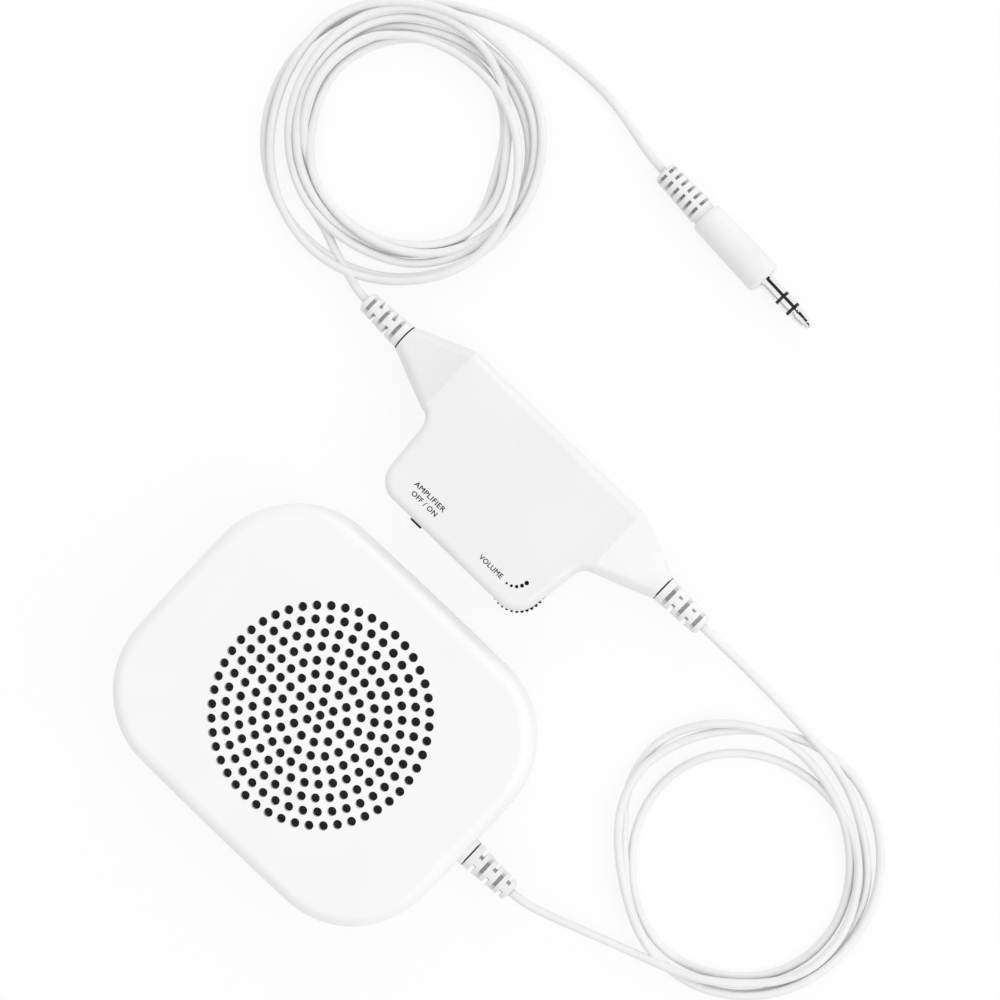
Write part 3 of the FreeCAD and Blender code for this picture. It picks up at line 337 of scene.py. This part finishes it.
def turnedMetal(name, look, axis):
    # plated metal: fine tool rings along its turning axis, a faint haze and a few scratches
    material, shader, place = startMaterial(name, {"Metallic": 1.0})
    rings = place.node("ShaderNodeTexNoise", {"noise_dimensions": "1D"},
                       {"W": place.along(axis), "Scale": look["ringScale"], "Detail": 3.0})
    haze = place.noise(look["hazeScale"], 4.0, 0.6)
    scratch = place.node("ShaderNodeTexWave", {"wave_type": "BANDS"},
                         {"Vector": place, "Scale": look["scratchScale"],
                          "Distortion": 14.0, "Detail": 2.0}, out="Fac").step(0.93, 1.0)
    feed(shader,
         colour=haze.step(0.35, 0.75).blend(look["colour"], look["shade"]),
         rough=look["rough"] + (haze - 0.5) * look["roughSpread"] + scratch * 0.08,
         normal=(rings * look["ringDepth"] + scratch * 0.002).bump())
    return material


def sintered(name, look):
    # pressed and fired powder: coarse and fine grains, chalky where they stand out
    material, shader, place = startMaterial(name, {"IOR": 1.6})
    grains = place.node("ShaderNodeTexVoronoi", None,
                        {"Vector": place, "Scale": look["grainScale"]}, out="Distance")
    dust = place.noise(look["dustScale"], 4.0)
    chalk = (dust * 0.6 + grains * 0.4).step(0.25, 0.75)
    feed(shader, colour=chalk.blend(look["colour"], look["shade"]),
         rough=look["rough"] + (dust - 0.5) * 0.2,
         normal=(grains * look["grain"]).bump())
    return material


def wovenCloth(name, look):
    # plain weave: warp and weft take turns on top, and each thread is a little uneven
    material, shader, place = startMaterial(name, {"Sheen Weight": 0.3})
    across, along = place.split()[:2]
    turn = math.pi / (look["pitch"] * mm)
    warp, weft = (across * turn).math("SINE"), (along * turn).math("SINE")
    height = (warp * weft) * 0.5 + 0.5
    slub = place.noise(look["slubScale"], 2.0)
    thread = (height * 0.7 + slub * 0.3).step(0.1, 0.9)
    feed(shader, colour=thread.blend(look["shade"], look["colour"]),
         rough=look["rough"] + slub * 0.1,
         normal=(height * look["depth"] + slub * 0.02).bump())
    return material


def formedFilm(name, look):
    # a pressed cone: ribs round its axis, fibres in its surface
    material, shader, place = startMaterial(name, {"IOR": 1.45})
    ribs = (place.away(upright) * (2 * math.pi / (look["ribPitch"] * mm))).math("SINE")
    fibre = place.noise(look["fibreScale"], 5.0, 0.7)
    feed(shader, colour=fibre.step(0.35, 0.7).blend(look["colour"], look["shade"]),
         rough=look["rough"] + (fibre - 0.5) * 0.25,
         normal=(ribs * look["ribDepth"] + fibre * 0.03).bump())
    return material


def openFoam(name, look):
    # small cells, with painted shade darkening their pits
    material, shader, place = startMaterial(name, {"IOR": 1.4})
    cells = place.node("ShaderNodeTexVoronoi", None,
                       {"Vector": place, "Scale": look["cellScale"]}, out="Distance")
    feed(shader, colour=cells.step(0.1, 0.6).blend(look["shade"], look["colour"]),
         rough=look["rough"] - cells * 0.08, normal=(cells * look["depth"]).bump())
    return material


def woundWire(name, look):
    # turns of enamelled wire, one above the other; painted shade darkens the grooves
    material, shader, place = startMaterial(name, {"Metallic": 0.9})
    wave = (place.along(upright) * (2 * math.pi / (look["pitch"] * mm))).math("SINE")
    turns = wave * 0.5 + 0.5
    haze = place.noise(look["hazeScale"], 2.0)
    feed(shader, colour=turns.step(0.0, 0.6).blend(look["shade"], look["colour"]),
         rough=look["rough"] + haze * 0.1, normal=(turns * look["depth"]).bump())
    return material


def circuitBoard(name, look):
    # solder mask with copper tracks under it, and the cloth of the board itself
    material, shader, place = startMaterial(name, {"IOR": 1.55})
    tracks = place.node("ShaderNodeTexBrick", {"offset": 0.37, "squash": 1.6},
                        {"Vector": place, "Scale": look["trackScale"], "Mortar Size": 0.09,
                         "Mortar Smooth": 0.1}, out="Fac")
    cloth = place.noise(look["clothScale"], 1.0)
    green = cloth.step(0.3, 0.7).blend(look["colour"], look["shade"])
    feed(shader, colour=tracks.blend(green, look["track"]),
         rough=look["rough"] + (cloth - 0.5) * 0.1,
         normal=(tracks * 0.03 + cloth * 0.005).bump())
    return material


def banded(name, look, axis):
    # a sleeve or film with plain bands at set places along its axis; each band is
    # (from, to, colour) in millimetres along the axis, and fades out over its edge
    material, shader, place = startMaterial(name, {"IOR": 1.5})
    along = place.along(axis)
    cloud = place.noise(look["cloudScale"], 3.0)
    colour = cloud.step(0.3, 0.7).blend(look["colour"], look["shade"])
    edge = look["edge"]
    for low, high, bandColour in look["bands"]:
        inside = (along.step((low - edge) * mm, low * mm)
                  * (1 - along.step(high * mm, (high + edge) * mm)))
        colour = inside.blend(colour, bandColour)
    wrinkle = place.noise(look["wrinkleScale"], 2.0)
    feed(shader, colour=colour, rough=look["rough"] + (wrinkle - 0.5) * 0.12,
         normal=(wrinkle * look["wrinkle"]).bump())
    return material


whitePlastic = {"colour": (0.925, 0.925, 0.923), "shade": (0.90, 0.90, 0.90), "rough": 0.36,
                "roughSpread": 0.14, "cloudScale": 60, "rippleScale": 220, "ripple": 0.012,
                "grainScale": 5200, "grain": 0.0035, "gap": (0.02, 0.02, 0.02),
                "sheen": 0.5}
boxPlastic = dict(whitePlastic, colour=(0.865, 0.865, 0.865), shade=(0.84, 0.84, 0.842),
                  rough=0.28)
softPlastic = dict(whitePlastic, colour=(0.87, 0.87, 0.87), shade=(0.82, 0.82, 0.822),
                   rough=0.42, rippleScale=500, ripple=0.01)
blackPlastic = dict(whitePlastic, colour=(0.018, 0.018, 0.019), shade=(0.030, 0.030, 0.031),
                    rough=0.36, cloudScale=400, sheen=0.25)
knobPlastic = dict(blackPlastic, colour=(0.008, 0.008, 0.008), shade=(0.014, 0.014, 0.014),
                   sheen=0.15)
brownBoard = dict(whitePlastic, colour=(0.30, 0.16, 0.06), shade=(0.20, 0.10, 0.04),
                  rough=0.5, cloudScale=900, grainScale=9000, grain=0.01)
darkCeramic = dict(blackPlastic, colour=(0.022, 0.022, 0.024), shade=(0.05, 0.05, 0.05),
                   rough=0.5, grainScale=14000, grain=0.008)
glossInsulator = dict(blackPlastic, rough=0.16, roughSpread=0.06)

nickel = {"colour": (0.90, 0.90, 0.905), "shade": (0.82, 0.82, 0.825), "rough": 0.07,
          "roughSpread": 0.05, "ringScale": 9000, "ringDepth": 0.0012, "hazeScale": 900,
          "scratchScale": 160}
zincPlate = dict(nickel, colour=(0.60, 0.60, 0.61), shade=(0.46, 0.47, 0.48), rough=0.30,
                 roughSpread=0.2, ringScale=4000, ringDepth=0.003, hazeScale=500)
springNickel = dict(nickel, colour=(0.74, 0.73, 0.70), shade=(0.62, 0.61, 0.58), rough=0.2)

# the reliefs, along and away from their axes in millimetres: the end faces of the housings,
# where the reliefs' seams lie, and how wide the painted shade in the gaps and its soft edges is
reliefSizes = {"speakerEnd": 43.3, "speakerSeam": 43.45, "ampEnd": 38.65, "ampSeam": 38.8,
               "neck": 3.4, "neckEdge": 0.05, "endEdge": 0.06, "seamFrom": 0.14,
               "seamTo": 0.22, "core": 1.45, "handleCore": 1.4, "slotFrom": 0.05,
               "slotTo": 0.35, "slotShade": 0.45}


def reliefPaintedShade(axis, core, seam=None):
    # painted shade: grey at the bottom of a relief's slots, and dark at its seam with a
    # housing; the plug's handle is one moulding with its relief, so it has no such seam
    sizes = reliefSizes

    def paintedShadeMask(place):
        slots = 1 - place.away(axis).step((core + sizes["slotFrom"]) * mm,
                                          (core + sizes["slotTo"]) * mm)
        # painted shade at the bottom of the slots
        depth = slots * sizes["slotShade"]
        if seam is None:
            return depth
        outside = place.along(axis).math("ABSOLUTE").step((seam + sizes["seamFrom"]) * mm,
                                                          (seam + sizes["seamTo"]) * mm)
        return (1 - outside).math("MAXIMUM", depth)
    return paintedShadeMask


def endPaintedShade(axis, end):
    # painted shade on a housing's own end face, beside the relief
    sizes = reliefSizes

    def paintedShadeMask(place):
        atEnd = place.along(axis).math("ABSOLUTE").step((end - sizes["endEdge"]) * mm,
                                                        end * mm)
        beside = 1 - place.away(axis).step(sizes["neck"] * mm,
                                           (sizes["neck"] + sizes["neckEdge"]) * mm)
        return atEnd * beside
    return paintedShadeMask


finishes = {
    "shell_white": mouldedPlastic("shellWhite", whitePlastic,
                                  endPaintedShade(speakerReliefAxis, reliefSizes["speakerEnd"])),
    "amp_white": mouldedPlastic("ampWhite", boxPlastic,
                                endPaintedShade(ampAxis, reliefSizes["ampEnd"])),
    "relief_white": mouldedPlastic("ampReliefs", softPlastic,
                                   reliefPaintedShade(ampAxis, reliefSizes["core"],
                                              reliefSizes["ampSeam"])),
    "cord_white": mouldedPlastic("cordWhite", softPlastic),
    "knob_black": mouldedPlastic("knobBlack", knobPlastic),
    "switch_black": mouldedPlastic("switchBlack", dict(blackPlastic, rough=0.45)),
    "chip_black": mouldedPlastic("chipPackage", darkCeramic),
    "resistor_black": mouldedPlastic("resistorGlaze", dict(darkCeramic, rough=0.3)),
    "pot_brown": mouldedPlastic("potBoard", brownBoard),
    "terminal_brown": mouldedPlastic("terminalBoard", dict(brownBoard, cloudScale=1500)),
    "insulator_black": mouldedPlastic("insulatorBlack", glossInsulator),
    "screw_steel": turnedMetal("screwSteel", zincPlate, upright),
    "pressed_steel": turnedMetal("pressedSteel", dict(zincPlate, rough=0.38), upright),
    "contact_nickel": turnedMetal("contactNickel", springNickel, ampAxis),
    "plug_metal": turnedMetal("plugNickel", nickel, plugAxis),
    "ferrite": sintered("ferrite", {"colour": (0.035, 0.035, 0.037),
                                    "shade": (0.075, 0.074, 0.072), "rough": 0.62,
                                    "grainScale": 3500, "dustScale": 700, "grain": 0.02}),
    "cloth_black": wovenCloth("grilleCloth", {"colour": (0.006, 0.006, 0.006),
                                              "shade": (0.03, 0.03, 0.031), "rough": 0.85,
                                              "pitch": 0.28, "depth": 0.05,
                                              "slubScale": 1800}),
    "cone_black": formedFilm("coneFilm", {"colour": (0.03, 0.03, 0.032),
                                          "shade": (0.055, 0.055, 0.057), "rough": 0.6,
                                          "ribPitch": 1.6, "ribDepth": 0.05,
                                          "fibreScale": 2500}),
    "cap_grey": formedFilm("capFilm", {"colour": (0.12, 0.12, 0.125),
                                       "shade": (0.17, 0.17, 0.175), "rough": 0.5,
                                       "ribPitch": 2.4, "ribDepth": 0.02,
                                       "fibreScale": 3500}),
    "gasket_black": openFoam("gasketFoam", {"colour": (0.04, 0.04, 0.041),
                                            "shade": (0.010, 0.010, 0.010), "rough": 0.9,
                                            "cellScale": 3200, "depth": 0.12}),
    "coil_copper": woundWire("coilCopper", {"colour": (0.62, 0.24, 0.09),
                                            "shade": (0.22, 0.07, 0.03), "rough": 0.28,
                                            "pitch": 0.16, "depth": 0.05,
                                            "hazeScale": 2000}),
    "board_green": circuitBoard("boardGreen", {"colour": (0.012, 0.09, 0.035),
                                               "shade": (0.016, 0.12, 0.045),
                                               "track": (0.03, 0.22, 0.08), "rough": 0.3,
                                               "trackScale": 420, "clothScale": 4000}),
    "capacitor_sleeve": banded("capacitorSleeve",
                               {"colour": (0.02, 0.03, 0.09), "shade": (0.03, 0.045, 0.12),
                                "rough": 0.32, "cloudScale": 500, "wrinkleScale": 1500,
                                "wrinkle": 0.01, "edge": 0.03,
                                "bands": [(9.35, 20.0, (0.62, 0.62, 0.63))]}, upright),
    "cell_jacket": banded("cellJacket",
                          {"colour": (0.11, 0.115, 0.13), "shade": (0.13, 0.135, 0.15),
                           "rough": 0.3, "cloudScale": 300, "wrinkleScale": 700,
                           "wrinkle": 0.01, "edge": 0.03,
                           "bands": [(11.0, 21.0, (0.55, 0.55, 0.56)),
                                     (21.0, 30.0, (0.66, 0.66, 0.67)),
                                     (-30.0, -21.3, (0.66, 0.66, 0.67))]}, ampAxis),
}
ownFinish = {
    "speaker_boot": mouldedPlastic("speakerRelief", softPlastic,
                                   reliefPaintedShade(speakerReliefAxis, reliefSizes["core"],
                                              reliefSizes["speakerSeam"])),
    "plug_handle": mouldedPlastic("plugHandle", softPlastic,
                                  reliefPaintedShade(plugAxis, reliefSizes["handleCore"])),
}
for part in frame["record"]["subparts"]:
    finish = ownFinish.get(part["node"]) or finishes[part["material_slot"]]
    for slot in nodes[part["node"]].material_slots:
        slot.material = finish
for cord in (speakerCord, plugCord):
    cord.data.materials.append(finishes["cord_white"])
    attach(cord, "housing")
print("finishes:", len(finishes) + len(ownFinish))


# the print on the box: three words that say what the switch and the wheel do, and five
# dots that grow along the wheel's rim
printSizes = {"lift": 0.012, "thickness": 0.008, "letterHeight": 1.16, "fontSize": 1.6,
              "boldness": 0.029, "spacing": 1.08, "letterSteps": 3, "dotSides": 24,
              "arcSteps": 48,
              "words": [("AMPLIFIER", -20.58, 10.24, 8.7), ("OFF / ON", -22.50, 10.06, 7.1),
                        ("VOLUME", -22.14, -9.49, 6.5)],
              "dots": 5, "dotCentre": (-18.86, -13.93), "dotArc": 3.48, "dotStart": 186.8,
              "dotSweep": 75.8, "firstDot": 0.26, "dotGrowth": 0.057}


def printInk(name, look):
    # ink with a slightly uneven skin
    material, shader, place = startMaterial(name, {"IOR": 1.5,
                                                   "Specular IOR Level": look["sheen"]})
    wear = place.noise(look["wearScale"], 3.0)
    feed(shader, colour=wear.step(0.35, 0.8).blend(look["colour"], look["shade"]),
         rough=look["rough"] + wear * look["roughSpread"],
         normal=(wear * look["wear"]).bump())
    return material


ink = printInk("printInk", {"colour": (0.005, 0.005, 0.005), "shade": (0.02, 0.02, 0.02),
                            "rough": 0.55, "roughSpread": 0.2, "wearScale": 2600,
                            "wear": 0.004, "sheen": 0.12})

# letters run towards the speaker's cord, and their tops point at the plug
ampPlace = (Matrix.Translation([value * mm for value in fromFrame(ampFrame, 0, 0, 0)])
            @ Matrix.Rotation(math.radians(ampFrame["turn"]), 4, "Z"))
alongPrint = Matrix.Rotation(math.radians(-90), 4, "Z")


def onBox(x, y):
    # a place on the box's flat top, just above it
    height = ampFrame["top"] + printSizes["lift"]
    return ampPlace @ Matrix.Translation((x * mm, y * mm, height * mm))


def plainMesh(source, name, matrix):
    # the evaluated shape as a mesh with its place in it
    bpy.context.view_layer.update()
    graph = bpy.context.evaluated_depsgraph_get()
    mesh = bpy.data.meshes.new_from_object(source.evaluated_get(graph))
    mesh.name = name
    mesh.transform(matrix)
    bpy.data.objects.remove(source)
    piece = bpy.data.objects.new(name, mesh)
    bpy.context.scene.collection.objects.link(piece)
    return piece


def printedWord(word, x, y, length):
    curve = bpy.data.curves.new(word, "FONT")
    curve.body = word
    curve.size = printSizes["fontSize"] * mm
    curve.align_x, curve.align_y = "CENTER", "CENTER"
    curve.resolution_u = printSizes["letterSteps"]
    curve.offset = printSizes["boldness"] * mm
    curve.space_character = printSizes["spacing"]
    curve.extrude = printSizes["thickness"] / 2 * mm
    text = bpy.data.objects.new(word, curve)
    bpy.context.scene.collection.objects.link(text)
    bpy.context.view_layer.update()
    wide, high = text.dimensions.x, text.dimensions.y
    fit = Matrix.Diagonal((length * mm / wide, printSizes["letterHeight"] * mm / high, 1, 1))
    name = "print_" + "".join(letter for letter in word.lower() if letter.isalpha())
    piece = plainMesh(text, name, onBox(x, y) @ alongPrint @ fit)
    piece.data.materials.clear()
    piece.data.materials.append(ink)
    return piece


def dotTree(material):
    # discs on an arc, each a step larger than the one before
    tree = bpy.data.node_groups.new("growingDots", "GeometryNodeTree")
    face = tree.interface
    face.new_socket("Geometry", in_out="INPUT", socket_type="NodeSocketGeometry")
    sockets = {}
    for name, kind in (("Dots", "NodeSocketInt"), ("Arc Radius", "NodeSocketFloat"),
                       ("Start", "NodeSocketFloat"), ("Sweep", "NodeSocketFloat"),
                       ("First Radius", "NodeSocketFloat"), ("Growth", "NodeSocketFloat"),
                       ("Thickness", "NodeSocketFloat")):
        sockets[name] = face.new_socket(name, in_out="INPUT", socket_type=kind).identifier
    face.new_socket("Geometry", in_out="OUTPUT", socket_type="NodeSocketGeometry")
    given = tree.nodes.new("NodeGroupInput")

    def add(kind, settings=None, values=None):
        return Wire(tree, given.outputs[0]).node(kind, settings, values)

    def value(name):
        return Wire(tree, given.outputs[name])

    arc = add("GeometryNodeCurveArc", {"mode": "RADIUS"},
              {"Resolution": printSizes["arcSteps"], "Radius": value("Arc Radius"),
               "Start Angle": value("Start"), "Sweep Angle": value("Sweep")})
    spots = add("GeometryNodeCurveToPoints", {"mode": "COUNT"},
                {"Curve": arc, "Count": value("Dots")})
    disc = add("GeometryNodeMeshCylinder", None,
               {"Vertices": printSizes["dotSides"], "Radius": 1.0,
                "Depth": value("Thickness")})
    index = add("GeometryNodeInputIndex")
    radius = value("First Radius") + index * value("Growth")
    size = add("ShaderNodeCombineXYZ", None, {"X": radius, "Y": radius, "Z": 1.0})
    placed = add("GeometryNodeInstanceOnPoints", None,
                 {"Points": spots, "Instance": disc, "Scale": size})
    solid = add("GeometryNodeRealizeInstances", None, {"Geometry": placed})
    inked = add("GeometryNodeSetMaterial", None, {"Geometry": solid, "Material": material})
    out = tree.nodes.new("NodeGroupOutput")
    tree.links.new(inked.socket, out.inputs[0])
    return tree, sockets


def printedDots():
    holder = bpy.data.objects.new("dots", bpy.data.meshes.new("dots"))
    bpy.context.scene.collection.objects.link(holder)
    tree, sockets = dotTree(ink)
    modifier = holder.modifiers.new("growingDots", "NODES")
    modifier.node_group = tree
    for name, amount in (("Dots", printSizes["dots"]),
                         ("Arc Radius", printSizes["dotArc"] * mm),
                         ("Start", math.radians(printSizes["dotStart"])),
                         ("Sweep", math.radians(printSizes["dotSweep"])),
                         ("First Radius", printSizes["firstDot"] * mm),
                         ("Growth", printSizes["dotGrowth"] * mm),
                         ("Thickness", printSizes["thickness"] * mm)):
        modifier[sockets[name]] = amount
    return plainMesh(holder, "print_dots", onBox(*printSizes["dotCentre"]))


printed = [printedWord(*word) for word in printSizes["words"]] + [printedDots()]
for piece in printed:
    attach(piece, "housing")
print("print:", [piece.name for piece in printed])


# the cords stand for the plain tubes and coils of the solid model
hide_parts("speaker_lead", "speaker_lead_coil", "speaker_lead_tail")
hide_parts("plug_lead", "plug_lead_coil", "plug_lead_tail")


# floor, light and camera, in metres and degrees; lowFrom and lowTo are heights on the sky's
# unit sphere
room = {"floor": 3.0, "floorColour": (0.92, 0.92, 0.92), "glow": 0.84, "ambient": 0.86,
        "leftLoss": 0.30, "lowLoss": 0.12, "lowFrom": 0.1, "lowTo": 0.6,
        "darkFrom": 7.0, "darkTo": 48.0, "softness": 5.0, "brightCard": 1.00,
        "darkCard": 0.03, "greyFrom": 50.0, "greyCard": 0.55, "lampsAimAt": (0.06, 0.0, 0.0)}

floorMesh = bpy.data.meshes.new("floor")
half = room["floor"] / 2
floorMesh.from_pydata([(-half, -half, 0), (half, -half, 0), (half, half, 0), (-half, half, 0)],
                      [], [(0, 1, 2, 3)])
floor = bpy.data.objects.new("floor", floorMesh)
bpy.context.scene.collection.objects.link(floor)

floorMaterial = bpy.data.materials.new("floorPaper")
floorMaterial.use_nodes = True
tree = floorMaterial.node_tree
tree.nodes.clear()
path = tree.nodes.new("ShaderNodeLightPath")
seen = Wire(tree, path.outputs["Is Camera Ray"]).math(
    "MAXIMUM", Wire(tree, path.outputs["Is Glossy Ray"]))
paper = seen.node("ShaderNodeBsdfDiffuse", None, {"Color": (*room["floorColour"], 1.0)})
white = (1.0, 1.0, 1.0, 1.0)
glow = seen.node("ShaderNodeEmission", None, {"Color": white, "Strength": 1.0})
mixed = seen.node("ShaderNodeMixShader", None, {0: seen * room["glow"], 1: paper, 2: glow})
output = tree.nodes.new("ShaderNodeOutputMaterial")
tree.links.new(mixed.socket, output.inputs["Surface"])
floorMesh.materials.append(floorMaterial)

# the sky gives even light, with less of it from the speaker's side and from near the
# horizon; in reflections it is a bright tent with one dark card on the plug's far side and a
# grey wall on the speaker's side, which draw the streaks on the plug
world = bpy.data.worlds.new("studio")
bpy.context.scene.world = world
world.use_nodes = True
tree = world.node_tree
tree.nodes.clear()
direction = Wire(tree, tree.nodes.new("ShaderNodeTexCoord").outputs["Generated"])
sideways, height = direction.split()[::2]      # X and Z
lean = sideways.math("ARCTAN2", height)
edge = math.radians(room["softness"])
darkFrom, darkTo, greyFrom = (math.radians(room[name]) for name in
                              ("darkFrom", "darkTo", "greyFrom"))
card = lean.step(darkFrom - edge, darkFrom) * (1 - lean.step(darkTo, darkTo + edge))
wall = 1 - lean.step(-greyFrom - edge, -greyFrom)
tent = (room["brightCard"] - card * (room["brightCard"] - room["darkCard"])
        - wall * (room["brightCard"] - room["greyCard"]))
low = 1 - height.step(room["lowFrom"], room["lowTo"])
sideLoss = wall * room["leftLoss"] + low * room["lowLoss"]
even = tent.node("ShaderNodeBackground", None,
                 {"Color": white, "Strength": (1 - sideLoss) * room["ambient"]})
mirrored = tent.node("ShaderNodeBackground", None, {"Color": white, "Strength": tent})
glossy = Wire(tree, tree.nodes.new("ShaderNodeLightPath").outputs["Is Glossy Ray"])
sky = glossy.node("ShaderNodeMixShader", None, {0: glossy, 1: even, 2: mirrored})
tree.links.new(sky.socket, tree.nodes.new("ShaderNodeOutputWorld").inputs["Surface"])

# the fill lamp stays out of mirror images, where it would burn out the box's pale top
lamps = {
    "keyLamp": {"place": (0.25, -0.75, 0.80), "size": 1.00, "power": 3.2, "mirrored": True},
    "fillLamp": {"place": (0.85, 0.60, 0.60), "size": 0.80, "power": 1.8, "mirrored": False},
}
for name, lamp in lamps.items():
    light = bpy.data.lights.new(name, "AREA")
    light.shape, light.size, light.energy = "DISK", lamp["size"], lamp["power"]
    holder = bpy.data.objects.new(name, light)
    holder.location = lamp["place"]
    holder.visible_glossy = lamp["mirrored"]
    aim = Vector(room["lampsAimAt"]) - Vector(lamp["place"])
    holder.rotation_euler = aim.to_track_quat("-Z", "Y").to_euler()
    bpy.context.scene.collection.objects.link(holder)

# the photograph's view: almost straight down, with the speaker at the lower left
photoView = {"lens": 82.8, "sensor": 36.0, "place": (0.0739036, -0.0319109, 0.5015629),
             "angles": (1.60287, 4.19945, -46.78123)}
cameraData = bpy.data.cameras.new("camera")
cameraData.lens, cameraData.sensor_width = photoView["lens"], photoView["sensor"]
camera = bpy.data.objects.new("camera", cameraData)
camera.location = photoView["place"]
camera.rotation_euler = Euler([math.radians(angle) for angle in photoView["angles"]])
bpy.context.scene.collection.objects.link(camera)
bpy.context.scene.camera = camera
bpy.context.scene.view_settings.view_transform = "Standard"

print("scene ready")
